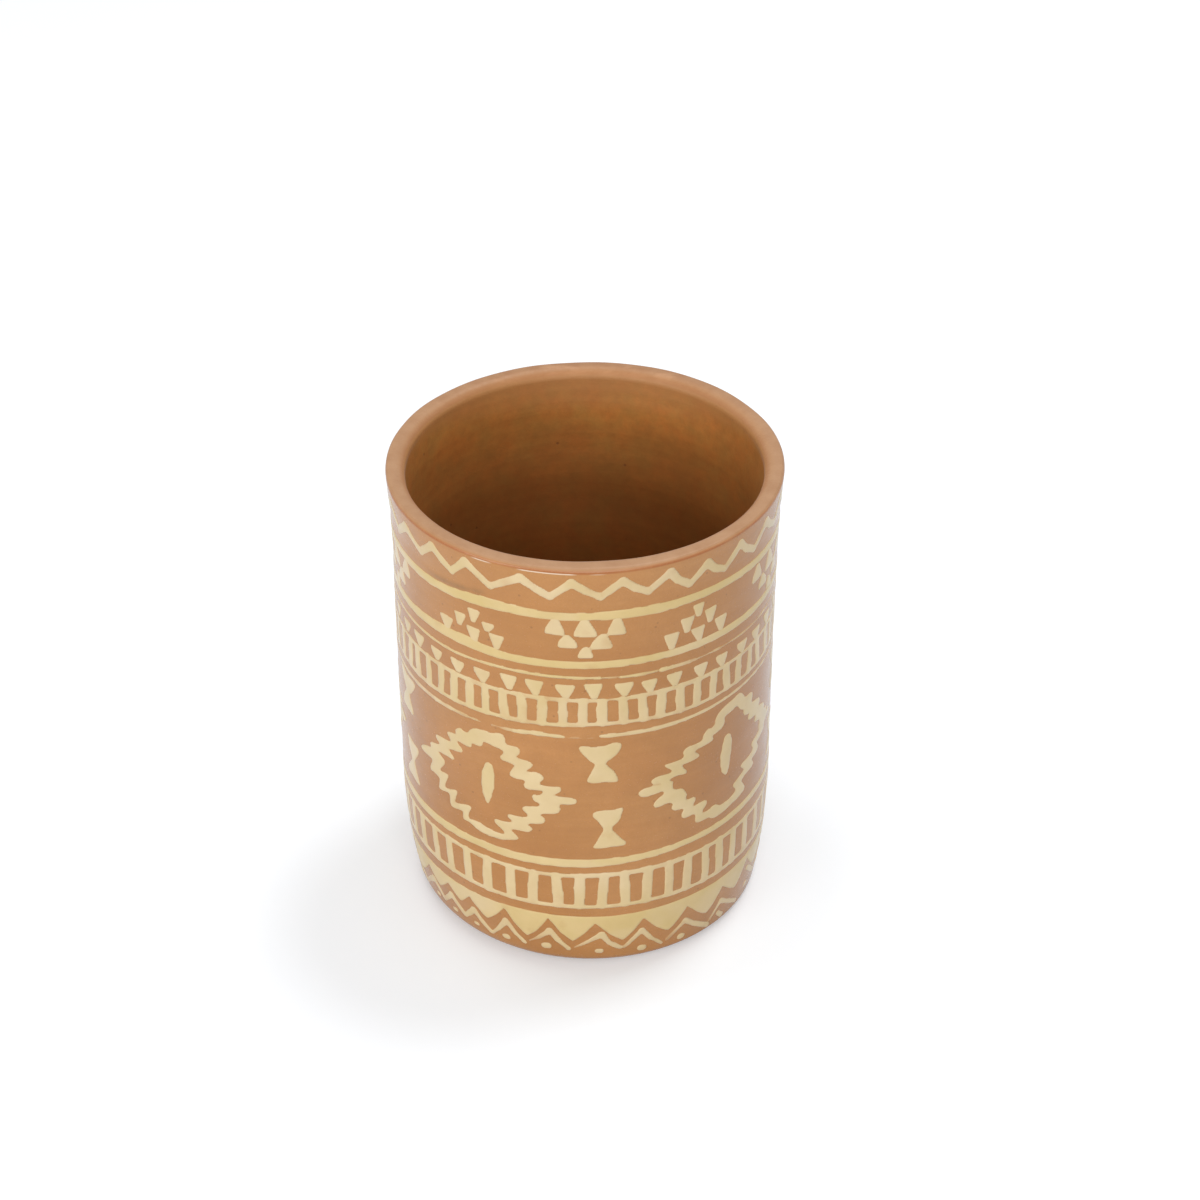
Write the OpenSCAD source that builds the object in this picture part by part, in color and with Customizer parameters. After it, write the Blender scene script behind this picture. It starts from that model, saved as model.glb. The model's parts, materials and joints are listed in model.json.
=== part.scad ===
// Kulhad cup: a thrown and fired clay tumbler, painted outside with bands of
// cream slip. The axis of the cup is Z, the resting face lies at z = 0 and the
// middle of the painted front faces -Y. All lengths are in millimetres.

/* [Cup] */
// Outer diameter of the straight wall
cup_d = 75; // [64:1:90]
// Height from the resting face to the top of the rim
cup_h = 96; // [90:1:120]
// Thickness of the clay wall
wall_t = 3.75; // [3.25:0.25:5]
// Thickness of the clay floor
floor_t = 5; // [3:0.5:8]
// Radius of the worn inner edge of the rim
lip_inner_r = 2.1; // [1:0.1:2.3]
// Radius of the outer edge of the rim
lip_outer_r = 0.8; // [0.3:0.1:0.9]
// Radius of the corner between the inside wall and the floor
inside_corner_r = 8; // [4:0.5:14]

/* [Foot] */
// Height over which the wall draws in towards the resting face
foot_h = 26; // [20:1:30]
// Radius of the long curve that draws the wall in
foot_curve_r = 150; // [120:5:300]
// Radius of the corner at the resting face
foot_corner_r = 2.75; // [1.5:0.25:3.25]

/* [Slip] */
// Thickness of the painted slip on the clay
slip_t = 0.2; // [0.1:0.05:0.4]

/* [Rim zigzag] */
// Clay left bare between the rim and the zigzag
rim_margin = 2.1; // [1.2:0.1:3]
// Height of the zigzag from peak to valley, over the paint
rim_zigzag_h = 5.2; // [4:0.1:6]
// Upright thickness of the zigzag stroke
rim_zigzag_t = 1.7; // [1:0.1:2.2]
// Number of peaks round the cup
rim_zigzag_n = 26; // [18:1:32]
// Width of the blunt tips of every zigzag and tooth
zigzag_tip_w = 0.8; // [0.5:0.1:2]

/* [Upper bands] */
// Clay left bare between the zigzag and the upper line
upper_line_gap = 2.1; // [1:0.1:3]
// Height of the upper line
upper_line_h = 2.1; // [1:0.1:3]
// Height of the clay band that carries the clusters of triangles
cluster_band_h = 8.4; // [7:0.1:10]
// Height of the middle line
middle_line_h = 2.1; // [1:0.1:3]
// Clay left bare between the middle line and the thin line
thin_line_gap = 1.8; // [1:0.1:2.5]
// Height of the thin line
thin_line_h = 0.7; // [0.4:0.1:1]
// Clay left bare between the thin line and the small triangles
small_triangle_gap = 1.1; // [0.6:0.1:2]

/* [Triangles] */
// Number of clusters round the cup, hanging and standing by turns
cluster_n = 10; // [8:2:12]
// Width of one triangle of a cluster
cluster_triangle_w = 3.2; // [2:0.1:4]
// Distance between neighbours in one row of a cluster
cluster_pitch = 5.8; // [5:0.1:6.5]
// Width of the narrow end of every painted triangle
triangle_tip_w = 0.7; // [0.4:0.1:1.2]
// Number of small triangles round the cup
small_triangle_n = 42; // [30:1:48]
// Width of a small triangle
small_triangle_w = 3.1; // [2:0.1:3.6]
// Height of a small triangle
small_triangle_h = 3.4; // [2.5:0.1:4]

/* [Ladders] */
// Height of the upper ladder over its rails
upper_ladder_h = 6.9; // [5:0.1:8]
// Height of each rail of the upper ladder
upper_rail_h = 0.8; // [0.5:0.1:1.2]
// Width of a rung of the upper ladder
upper_rung_w = 1.8; // [1:0.1:2.4]
// Number of rungs of the upper ladder
upper_rung_n = 63; // [40:1:72]
// Height of the lower ladder over its rails
lower_ladder_h = 9; // [7:0.1:10]
// Height of each rail of the lower ladder
lower_rail_h = 0.9; // [0.5:0.1:1.4]
// Width of a rung of the lower ladder
lower_rung_w = 2; // [1:0.1:2.8]
// Number of rungs of the lower ladder
lower_rung_n = 51; // [36:1:60]

/* [Diamond band] */
// Clay left bare between the upper ladder and the broken line
broken_line_gap = 1.9; // [1:0.1:3]
// Height of the broken line
broken_line_h = 0.8; // [0.4:0.1:1.2]
// Length of one bare gap in the broken line
broken_line_break = 6; // [2:0.5:10]
// Clay left bare above the diamonds
diamond_top_gap = 0.9; // [0.5:0.1:3]
// Clay left bare below the diamonds
diamond_foot_gap = 1.9; // [0.5:0.1:3]
// Number of diamonds round the cup
diamond_n = 5; // [3:1:5]
// Width of a diamond between the middles of its side strokes
diamond_w = 27; // [22:0.5:30]
// Length of one stroke of the serrated outline, measured round the cup
diamond_stroke = 5; // [3:0.1:6]
// Width of the flat cap at the top and bottom corners
diamond_cap_w = 8; // [5:0.5:11]
// Upright thickness of one stroke of the serrated outline
diamond_stroke_h = 1.5; // [0.8:0.1:1.8]
// Reach of the long stroke beyond the outline at each side corner
diamond_spur = 2.7; // [1:0.1:3.5]
// Number of teeth on each of the four sides of a diamond
diamond_teeth = 5; // [3:1:7]
// Width of the spindle in the middle of a diamond
spindle_w = 2.9; // [1.5:0.1:4]
// Height of the spindle as a share of the height of its diamond
spindle_share = 0.388; // [0.25:0.002:0.5]
// Width of an hourglass at its ends
hourglass_w = 6.6; // [4:0.1:8]
// Width of the waist of an hourglass
hourglass_waist_w = 1.8; // [1:0.1:3]
// Height of an hourglass as a share of the height of a diamond
hourglass_share = 0.356; // [0.25:0.002:0.45]

/* [Base bands] */
// Height of the valleys of the base zigzag above the resting face
base_margin = 4.2; // [3.6:0.1:5]
// Height of the teeth and of the zigzag under them
base_tooth_h = 4.7; // [3:0.1:5.5]
// Number of teeth round the cup
base_tooth_n = 25; // [18:1:30]
// Upright distance from the edge of the teeth to the middle of the zigzag
base_zigzag_drop = 2.6; // [2:0.1:3.2]
// Upright thickness of the base zigzag stroke
base_zigzag_t = 1.4; // [0.8:0.1:2]
// Height of the solid slip above the notches between the teeth
base_band_h = 2.5; // [1:0.1:4]
// Diameter of a dot
base_dot_d = 1.5; // [0.8:0.1:2]
// Clay left bare between the base band and the lower ladder
lower_ladder_gap = 2; // [1:0.1:3]
// Clay left bare between the lower ladder and the lower line
lower_line_gap = 1.8; // [1:0.1:3]
// Height of the lower line
lower_line_h = 2; // [1:0.1:3]

/* [Hidden] */
$fn = 96;

clay_colour = [0.75, 0.55, 0.38];
slip_colour = [0.87, 0.78, 0.58];

// Steps in each rounded stretch of the profile
corner_steps = 10;
foot_steps = 4;

wall_r = cup_d / 2;
bore_r = wall_r - wall_t;

// The long curve of the foot is tangent to the wall at foot_h, and the corner
// at the resting face is tangent to that curve and to the resting face
foot_centre_r = wall_r - foot_curve_r;
corner_drop = foot_h - foot_corner_r;
corner_reach = sqrt(pow(foot_curve_r - foot_corner_r, 2) - pow(corner_drop, 2));
corner_centre_r = foot_centre_r + corner_reach;
foot_turn = atan2(corner_drop, corner_reach);

// Places of the upper bands, each as the height of its lower edge
rim_zigzag_z = cup_h - rim_margin - rim_zigzag_h;
upper_line_z = rim_zigzag_z - upper_line_gap - upper_line_h;
cluster_band_z = upper_line_z - cluster_band_h;
middle_line_z = cluster_band_z - middle_line_h;
thin_line_z = middle_line_z - thin_line_gap - thin_line_h;
small_triangle_z = thin_line_z - small_triangle_gap - small_triangle_h;
upper_ladder_z = small_triangle_z - upper_ladder_h;
broken_line_z = upper_ladder_z - broken_line_gap - broken_line_h;

// Places of the lower bands, built up from the resting face
tooth_tip_z = base_margin + base_zigzag_drop;
notch_z = tooth_tip_z + base_tooth_h;
base_band_top_z = notch_z + base_band_h;
lower_ladder_z = base_band_top_z + lower_ladder_gap;
lower_line_z = lower_ladder_z + lower_ladder_h + lower_line_gap;

// The diamonds and hourglasses fill the clay between the two stacks of bands
diamond_low_z = lower_line_z + lower_line_h + diamond_foot_gap;
diamond_high_z = broken_line_z - diamond_top_gap;
diamond_z = (diamond_low_z + diamond_high_z) / 2;
diamond_h = diamond_high_z - diamond_low_z;
diamond_turn = 360 / diamond_n;
spindle_h = diamond_h * spindle_share;
hourglass_h = diamond_h * hourglass_share;
// The first hourglasses stand a little to the right of the front
hourglass_angle = 5;

// The way once round the wall
round_wall = 2 * PI * wall_r;

// How far a shape runs past what it cuts
overrun = wall_t / 2;
// Width of the piece of slip that a mark is cut from, as a multiple of its pitch
piece_share = 1.4;
// How far a window is drawn out past the slip it is cut from, as a multiple of itself
window_share = 1.05;
// Outline of a half spindle from tip to tip: share of the height, share of the half width
spindle_shares = [[-0.5, 0.3], [-0.3, 0.85], [0, 1], [0.3, 0.9], [0.5, 0.6]];

// Angle round the wall for a length measured on it
function wall_angle(length) = length / wall_r * 180 / PI;

// A point on the wall, seen square on from the middle of the mark
function seen(x, z) = [wall_r * sin(wall_angle(x)), z];

function arc_points(centre, radius, from, to, steps) = [
    for (i = [0:steps])
        let (a = from + (to - from) * i / steps)
            [centre[0] + radius * cos(a), centre[1] + radius * sin(a)]
];

// Half section of the outside of the cup below the rim's edge, grown outwards
module outside_profile(grow) {
    polygon(concat(
        [[0, 0]],
        arc_points([corner_centre_r, foot_corner_r], foot_corner_r + grow,
            -90, -foot_turn, corner_steps),
        arc_points([foot_centre_r, foot_h], foot_curve_r + grow, -foot_turn, 0, foot_steps),
        arc_points([wall_r - lip_outer_r, cup_h - lip_outer_r], lip_outer_r + grow,
            0, 90, corner_steps),
        [[0, cup_h]]
    ));
}

// Half section of the hollow, with the worn inner edge of the rim
module inside_profile() {
    polygon(concat(
        [[0, floor_t]],
        arc_points([bore_r - inside_corner_r, floor_t + inside_corner_r], inside_corner_r,
            -90, 0, corner_steps),
        arc_points([bore_r + lip_inner_r, cup_h - lip_inner_r], lip_inner_r,
            180, 90, corner_steps),
        [[bore_r + lip_inner_r, cup_h + overrun], [0, cup_h + overrun]]
    ));
}

// The layer of slip that fits the outside of the clay between two heights: a
// whole ring, or a piece of one whose middle faces the front
module slip_skin(low, high, turn = 360) {
    rotate([0, 0, -90 - turn / 2])
        rotate_extrude(angle = turn)
            intersection() {
                difference() {
                    outside_profile(slip_t);
                    outside_profile(0);
                }
                translate([0, low])
                    square([cup_d, high - low]);
            }
}

// Stands a flat mark against the front of the wall, through the slip
module facing() {
    rotate([90, 0, 0])
        translate([0, 0, wall_r - wall_t])
            linear_extrude(height = wall_t + overrun)
                children();
}

// Paints a flat mark evenly round the wall, the first copy at the start angle:
// each copy is what it covers of a piece of the slip between two heights
module painted(count, low, high, start = 0) {
    piece_turn = min(360 / count * piece_share, 180);
    for (i = [0:count - 1])
        rotate([0, 0, start + i * 360 / count])
            intersection() {
                slip_skin(low, high, piece_turn);
                facing()
                    children();
            }
}

// Leaves bare clay where a flat mark repeats evenly round a whole ring of slip
module stencilled(count, low, high) {
    difference() {
        slip_skin(low, high);
        for (i = [0:count - 1])
            rotate([0, 0, i * 360 / count])
                facing()
                    children();
    }
}

// A triangle as a list of points: its tip, and its base run on past the slip
function window(half, tip_z, base_z) = [
    seen(0, tip_z),
    seen(half * window_share, tip_z + (base_z - tip_z) * window_share),
    seen(-half * window_share, tip_z + (base_z - tip_z) * window_share)
];

// A ring of slip cut back to one zigzag stroke by windows from above and below
module zigzag(count, low, high, thickness) {
    half = (round_wall / count - zigzag_tip_w) / 2;
    difference() {
        stencilled(count, low, high)
            polygon(window(half, high - thickness, low));
        for (i = [0:count - 1])
            rotate([0, 0, (i + 1 / 2) * 360 / count])
                facing()
                    polygon(window(half, low + thickness, high));
    }
}

// A triangle with its broad end at one height and its narrow end at another
module triangle_mark(x, width, broad, narrow) {
    polygon([
        seen(x - width / 2, broad), seen(x + width / 2, broad),
        seen(x + triangle_tip_w / 2, narrow), seen(x - triangle_tip_w / 2, narrow)
    ]);
}

// Three rows of triangles, three, two and one, growing from a line
module cluster(broad, narrow, step) {
    for (row = [0:2])
        for (i = [0:2 - row])
            triangle_mark((i - (2 - row) / 2) * cluster_pitch, cluster_triangle_w,
                broad + row * step, narrow + row * step);
}

// Rails and rungs of one ladder band, with bare windows between them
module ladder(low, high, rail, rung, count) {
    half_window = (round_wall / count - rung) / 2;
    stencilled(count, low, high)
        polygon([
            seen(-half_window, low + rail), seen(half_window, low + rail),
            seen(half_window, high - rail), seen(-half_window, high - rail)
        ]);
}

// Middle of the scribbled stroke at a step down the side of a diamond
function side_x(step) = (diamond_cap_w + (diamond_w - diamond_cap_w) * step / diamond_teeth) / 2;

// A quarter outline made whole: mirrored downwards, then both turned to the left
function whole(quarter) = let (last = len(quarter) - 1) concat(
    quarter,
    [for (i = [last:-1:0]) [quarter[i][0], -quarter[i][1]]],
    [for (p = quarter) [-p[0], -p[1]]],
    [for (i = [last:-1:0]) [-quarter[i][0], quarter[i][1]]]
);

// A serrated diamond, scribbled with strokes that run out and back as they
// step down each side, with a flat cap at the top and a long spur at the side
module serrated_diamond() {
    rise = diamond_h / 2 / diamond_teeth;
    half_t = diamond_stroke_h / 2;
    half_stroke = diamond_stroke / 2;
    // Where two neighbouring strokes part, measured back from the tip they share
    crotch = (diamond_stroke + side_x(1) - side_x(1 / 2)) * diamond_stroke_h / rise;
    spur_x = diamond_w / 2 + half_stroke + diamond_spur;
    outer = concat(
        [[diamond_cap_w / 2, diamond_h / 2]],
        [
            for (k = [1:diamond_teeth], p = [
                [side_x(k - 1 / 2) - half_stroke + crotch, (diamond_teeth - k + 1 / 2) * rise],
                [k < diamond_teeth ? side_x(k) + half_stroke : spur_x, (diamond_teeth - k) * rise + half_t],
                [side_x(k) + half_stroke, (diamond_teeth - k) * rise - half_t]
            ]) if (p[1] > 0) p
        ]
    );
    inner = [
        for (k = [1:diamond_teeth], p = [
            [side_x(k - 1 / 2) - half_stroke, (diamond_teeth - k + 1 / 2) * rise + half_t],
            [side_x(k - 1 / 2) - half_stroke, (diamond_teeth - k + 1 / 2) * rise - half_t],
            [side_x(k) + half_stroke - crotch, (diamond_teeth - k) * rise]
        ]) if (p[1] > 0 && p[1] < diamond_h / 2 - rise) p
    ];
    difference() {
        polygon([for (p = whole(outer)) seen(p[0], diamond_z + p[1])]);
        polygon([for (p = whole(inner)) seen(p[0], diamond_z + p[1])]);
    }
}

// One hourglass that stands on the given height
module hourglass(low) {
    half = hourglass_w / 2;
    waist = hourglass_waist_w / 2;
    mid = low + hourglass_h / 2;
    polygon([
        seen(-half, low), seen(half, low), seen(waist, mid), seen(half, low + hourglass_h),
        seen(-half, low + hourglass_h), seen(-waist, mid)
    ]);
}

module clay_cup() {
    color(clay_colour)
        rotate_extrude()
            difference() {
                outside_profile(0);
                inside_profile();
            }
}

module slip_rim_zigzag() {
    color(slip_colour)
        zigzag(rim_zigzag_n, rim_zigzag_z, rim_zigzag_z + rim_zigzag_h, rim_zigzag_t);
}

module slip_upper_line() {
    color(slip_colour)
        slip_skin(upper_line_z, upper_line_z + upper_line_h);
}

module slip_triangle_clusters() {
    row_h = cluster_band_h / 3;
    color(slip_colour) {
        painted(cluster_n / 2, cluster_band_z, upper_line_z)
            cluster(upper_line_z - row_h, upper_line_z, -row_h);
        painted(cluster_n / 2, cluster_band_z, upper_line_z, 360 / cluster_n)
            cluster(cluster_band_z + row_h, cluster_band_z, row_h);
    }
}

module slip_middle_line() {
    color(slip_colour)
        slip_skin(middle_line_z, middle_line_z + middle_line_h);
}

module slip_thin_line() {
    color(slip_colour)
        slip_skin(thin_line_z, thin_line_z + thin_line_h);
}

module slip_small_triangles() {
    color(slip_colour)
        painted(small_triangle_n, small_triangle_z, small_triangle_z + small_triangle_h)
            triangle_mark(0, small_triangle_w, small_triangle_z + small_triangle_h,
                small_triangle_z);
}

module slip_upper_ladder() {
    color(slip_colour)
        ladder(upper_ladder_z, upper_ladder_z + upper_ladder_h, upper_rail_h,
            upper_rung_w, upper_rung_n);
}

module slip_broken_line() {
    arc_turn = diamond_turn - wall_angle(broken_line_break);
    color(slip_colour)
        for (i = [0:diamond_n - 1])
            rotate([0, 0, (i + 1 / 2) * diamond_turn])
                slip_skin(broken_line_z, broken_line_z + broken_line_h, arc_turn);
}

module slip_diamonds() {
    color(slip_colour)
        painted(diamond_n, diamond_low_z, diamond_high_z, hourglass_angle + diamond_turn / 2)
            serrated_diamond();
}

module slip_spindles() {
    color(slip_colour)
        painted(diamond_n, diamond_low_z, diamond_high_z, hourglass_angle + diamond_turn / 2)
            polygon(concat(
                [for (s = spindle_shares) seen(s[1] * spindle_w / 2, diamond_z + s[0] * spindle_h)],
                [for (i = [len(spindle_shares) - 1:-1:0])
                    seen(-spindle_shares[i][1] * spindle_w / 2,
                        diamond_z + spindle_shares[i][0] * spindle_h)]
            ));
}

module slip_hourglasses() {
    color(slip_colour)
        painted(diamond_n, diamond_low_z, diamond_high_z, hourglass_angle) {
            hourglass(diamond_low_z);
            hourglass(diamond_high_z - hourglass_h);
        }
}

module slip_lower_line() {
    color(slip_colour)
        slip_skin(lower_line_z, lower_line_z + lower_line_h);
}

module slip_lower_ladder() {
    color(slip_colour)
        ladder(lower_ladder_z, lower_ladder_z + lower_ladder_h, lower_rail_h,
            lower_rung_w, lower_rung_n);
}

// A solid band with a notch of bare clay cut up between each pair of teeth
module slip_base_teeth() {
    half_notch = (round_wall / base_tooth_n - zigzag_tip_w) / 2;
    color(slip_colour)
        stencilled(base_tooth_n, tooth_tip_z, base_band_top_z)
            polygon(window(half_notch, notch_z, tooth_tip_z));
}

module slip_base_zigzag() {
    zigzag_low = base_margin - base_zigzag_t / 2;
    color(slip_colour)
        zigzag(base_tooth_n, zigzag_low, zigzag_low + base_tooth_h + base_zigzag_t, base_zigzag_t);
}

module slip_base_dots() {
    color(slip_colour)
        painted(base_tooth_n, base_margin - base_dot_d, base_margin + base_dot_d)
            translate([0, base_margin])
                circle(d = base_dot_d);
}

clay_cup();
slip_rim_zigzag();
slip_upper_line();
slip_triangle_clusters();
slip_middle_line();
slip_thin_line();
slip_small_triangles();
slip_upper_ladder();
slip_broken_line();
slip_diamonds();
slip_spindles();
slip_hourglasses();
slip_lower_line();
slip_lower_ladder();
slip_base_teeth();
slip_base_zigzag();
slip_base_dots();
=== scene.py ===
import json
import math

import bpy
import numpy as np
from mathutils import Matrix, Vector

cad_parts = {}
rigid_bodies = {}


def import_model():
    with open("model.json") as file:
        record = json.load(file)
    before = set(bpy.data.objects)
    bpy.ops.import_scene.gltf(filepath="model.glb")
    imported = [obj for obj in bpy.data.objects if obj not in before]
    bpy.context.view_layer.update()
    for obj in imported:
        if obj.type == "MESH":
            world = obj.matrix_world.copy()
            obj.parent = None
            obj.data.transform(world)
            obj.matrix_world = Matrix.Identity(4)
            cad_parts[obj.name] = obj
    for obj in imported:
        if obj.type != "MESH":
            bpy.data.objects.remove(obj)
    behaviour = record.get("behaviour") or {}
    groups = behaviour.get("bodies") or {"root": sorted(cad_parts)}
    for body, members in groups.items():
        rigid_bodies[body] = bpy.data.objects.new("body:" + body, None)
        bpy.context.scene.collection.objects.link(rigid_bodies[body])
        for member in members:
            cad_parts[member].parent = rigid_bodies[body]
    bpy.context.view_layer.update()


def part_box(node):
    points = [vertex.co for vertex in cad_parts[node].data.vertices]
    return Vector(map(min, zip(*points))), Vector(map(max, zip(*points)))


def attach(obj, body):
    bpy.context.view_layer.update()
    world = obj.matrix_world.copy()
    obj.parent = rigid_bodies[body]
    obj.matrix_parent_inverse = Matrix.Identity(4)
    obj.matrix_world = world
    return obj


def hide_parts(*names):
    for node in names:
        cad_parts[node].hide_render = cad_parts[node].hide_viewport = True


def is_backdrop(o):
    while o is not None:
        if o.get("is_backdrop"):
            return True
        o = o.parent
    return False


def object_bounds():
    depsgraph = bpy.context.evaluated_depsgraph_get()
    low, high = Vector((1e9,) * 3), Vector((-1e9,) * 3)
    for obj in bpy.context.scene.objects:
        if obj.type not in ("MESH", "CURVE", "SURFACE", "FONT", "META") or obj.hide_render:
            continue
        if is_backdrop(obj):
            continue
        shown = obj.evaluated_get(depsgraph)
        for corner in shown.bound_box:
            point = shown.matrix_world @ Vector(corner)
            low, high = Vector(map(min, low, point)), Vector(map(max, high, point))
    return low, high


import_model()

# Lengths are in millimetres and angles round the cup in degrees, from the painted
# front towards +X. Depths are measured from the rim down the outside of the wall.
MM = 0.001
CLAY_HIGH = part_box("clay_cup")[1]
WALL_R = CLAY_HIGH.x / MM
CUP_H = CLAY_HIGH.z / MM
WALL_T = 3.75
FLOOR_T = 5.0
LIP_IN_R = 2.1
LIP_OUT_R = 0.8
INSIDE_R = 8.0
FOOT_H = 26.0
FOOT_R = 150.0
CORNER_R = 2.75
BORE_R = WALL_R - WALL_T
STRAIGHT = CUP_H - FOOT_H

# Hand-made unevenness: how much rounder the foot's corner is on the left, its least
# radius, how far the foot sits to the right and the rim leans out, and the share of that
# lean that the bore loses in front
CORNER_UNEVEN = 1.6
CORNER_LEAST = 0.9
FOOT_SHIFT = 0.4
RIM_FLARE = 0.45
FRONT_UPRIGHT = 0.8

# The slip's thickness, its rounded edge's width, and how deep its outline and its
# underside lie in the clay
SLIP_T = 0.07
EDGE_W = 0.4
OUTLINE_IN = 0.02
UNDERSIDE_IN = 0.07

# Camera, found from the photograph's rim, wall and base. It stands these wall radii
# before the cup's axis and above its rim. The photograph's size is in pixels.
PITCH, YAW, ROLL = 34.324, -0.412, -0.0955
CAMERA_BACK, CAMERA_UP = 11.25437, 6.81529
LENS = 77.905
PHOTO = 1200
scene = bpy.context.scene


def new_object(name, data):
    obj = bpy.data.objects.new(name, data)
    scene.collection.objects.link(obj)
    return obj


cam = bpy.data.cameras.new("camera")
cam.sensor_fit = "HORIZONTAL"
cam.sensor_width = 36.0
cam.lens = LENS
cam.clip_start = 0.01
cam.clip_end = 20.0
cam.shift_x = -0.5 / PHOTO
cam.shift_y = 0.5 / PHOTO
camera = new_object("camera", cam)
scene.camera = camera
turn = (
    Matrix.Rotation(math.radians(YAW), 3, "Z")
    @ Matrix.Rotation(math.radians(90 - PITCH), 3, "X")
    @ Matrix.Rotation(math.radians(ROLL), 3, "Z")
)
camera.rotation_euler = turn.to_euler()
camera.location = (0, -CAMERA_BACK * WALL_R * MM, (CUP_H + CAMERA_UP * WALL_R) * MM)


def held(share):
    return np.clip(share, 0, 1)


def foot_shape(corner_r):
    """The foot curve's turn, the flat underside's radius, and the corner's start and end."""
    reach = np.sqrt((FOOT_R - corner_r) ** 2 - (FOOT_H - corner_r) ** 2)
    foot_turn = np.arctan2(FOOT_H - corner_r, reach)
    start = STRAIGHT + FOOT_R * foot_turn
    return foot_turn, WALL_R - FOOT_R + reach, start, start + corner_r * (math.pi / 2 - foot_turn)


BASE_D = float(foot_shape(CORNER_R)[3])


def corner_radius(angle):
    return np.maximum(CORNER_R - CORNER_UNEVEN * np.sin(np.radians(angle)), CORNER_LEAST)


def flare(angle, depth):
    """How far the wall leans out near the rim."""
    return np.interp(depth, (0, 2, 8), (RIM_FLARE, 0.8 * RIM_FLARE, 0)) * (
        1 + 0.25 * np.sin(np.radians(angle)))


def sway(angle, depth):
    """How far out the whole wall stands at a place, measured level."""
    side = np.sin(np.radians(angle))
    foot = held((depth - STRAIGHT) / (BASE_D - STRAIGHT)) ** 2
    left = np.interp(depth, (1, 8, 18, 30, 60), (0, 0.3, 0.5, 0.4, 0.28))
    right = np.interp(depth, (6, 30), (0, 0.28))
    drawn_in = np.where(side < 0, left, right) * side ** 2
    return FOOT_SHIFT * side * foot - drawn_in + flare(angle, depth)


def on_wall(angle, depth):
    """Radius, height and outward direction of the outside at an angle and depth."""
    depth = np.asarray(depth, float)
    corner_r = corner_radius(angle)
    foot_turn, _, start, _ = foot_shape(corner_r)
    foot = np.clip((depth - STRAIGHT) / FOOT_R, 0, foot_turn)
    lean = foot + np.clip((depth - start) / corner_r, 0, math.pi / 2 - foot_turn)
    r = WALL_R - FOOT_R * (1 - np.cos(foot)) + sway(angle, depth)
    z = CUP_H - np.minimum(depth, STRAIGHT) - FOOT_R * np.sin(foot)
    r = r + corner_r * (np.cos(lean) - np.cos(foot))
    z = z - corner_r * (np.sin(lean) - np.sin(foot))
    return r, z, np.cos(lean), -np.sin(lean)


def uneven(angle, depth):
    """How far the hand-turned wall stands out from a true one."""
    a = np.radians(angle)
    waves = (
        0.07 * np.cos(2 * a + 0.9 + 0.02 * depth)
        + 0.05 * np.sin(3 * a - 0.05 * depth + 2.1)
        + 0.03 * np.sin(5 * a + 0.09 * depth)
        + 0.015 * np.sin(11 * a - 0.31 * depth + 0.7)
        + 0.012 * np.sin(0.9 * depth + 2 * np.sin(a))
    )
    return waves * held((BASE_D - 1.3 - depth) / 8)


def new_mesh(name, points, faces, values):
    """A smooth mesh object from points in mm, faces, and named numbers on its points."""
    mesh = bpy.data.meshes.new(name)
    mesh.from_pydata((points * MM).tolist(), [], faces)
    mesh.update()
    for key, value in values.items():
        layer = mesh.attributes.new(key, "FLOAT", "POINT")
        layer.data.foreach_set("value", np.asarray(value, np.float32))
    mesh.polygons.foreach_set("use_smooth", [True] * len(mesh.polygons))
    return new_object(name, mesh)


# Clay body: one profile from the middle of the underside, up the outside, over the
# lip and down the inside to the middle of the floor
COLUMNS = 360
angles = np.arange(COLUMNS) * 360 / COLUMNS
at_front, at_back = (held(way * np.cos(np.radians(angles))) ** 2 for way in (1, -1))
bore_lean = 1 - FRONT_UPRIGHT * at_front
profile = []


def profile_row(*values):
    """Radius, height, outward direction (2), depth, and shares inner and lip."""
    profile.append([np.broadcast_to(v, COLUMNS) for v in values])


_, flat_r, corner_start, corner_end = foot_shape(corner_radius(angles))
for share in np.linspace(0.04, 1, 16, endpoint=False):
    profile_row((flat_r + sway(angles, BASE_D)) * share, 0, 0, -1, BASE_D, 0, 0)
for count, low, high in ((12, corner_end, corner_start), (200, corner_start, LIP_OUT_R)):
    for share in np.linspace(0, 1, count, endpoint=False):
        depth = low + (high - low) * share
        profile_row(*on_wall(angles, depth), depth, 0, 0)
for step in np.linspace(0, math.pi / 2, 9):
    c, s = math.cos(step), math.sin(step)
    depth = LIP_OUT_R * (1 - s)
    profile_row(WALL_R + sway(angles, depth) - LIP_OUT_R * (1 - c), CUP_H - depth,
                c, s, depth, 0, min(1, 1.5 * s))
for step in np.linspace(math.pi / 2, math.pi, 15):
    c, s = math.cos(step), math.sin(step)
    depth = LIP_IN_R * (1 - s)
    lean = flare(angles, depth) * bore_lean
    profile_row(BORE_R + lean + LIP_IN_R * (1 + c), CUP_H - depth,
                c, s, depth, (1 - s) ** (1.5 - 0.7 * at_back), s)
first_inside = len(profile)
inside_top = CUP_H - LIP_IN_R
inside_low = FLOOR_T + INSIDE_R
for z in np.linspace(inside_top, inside_low, 190)[1:]:
    lean = flare(angles, CUP_H - z) * bore_lean
    profile_row(BORE_R + lean, z, -1, 0, CUP_H - z, 1, 0)
for step in np.linspace(0, math.pi / 2, 22)[1:]:
    c, s = math.cos(step), math.sin(step)
    profile_row(BORE_R - INSIDE_R + INSIDE_R * c, inside_low - INSIDE_R * s,
                -c, s, CUP_H - inside_low + INSIDE_R * s, 1, 0)
for share in np.linspace(1, 0.03, 40)[1:]:
    profile_row((BORE_R - INSIDE_R) * share, FLOOR_T, 0, 1, CUP_H - FLOOR_T, 1, 0)

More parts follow.
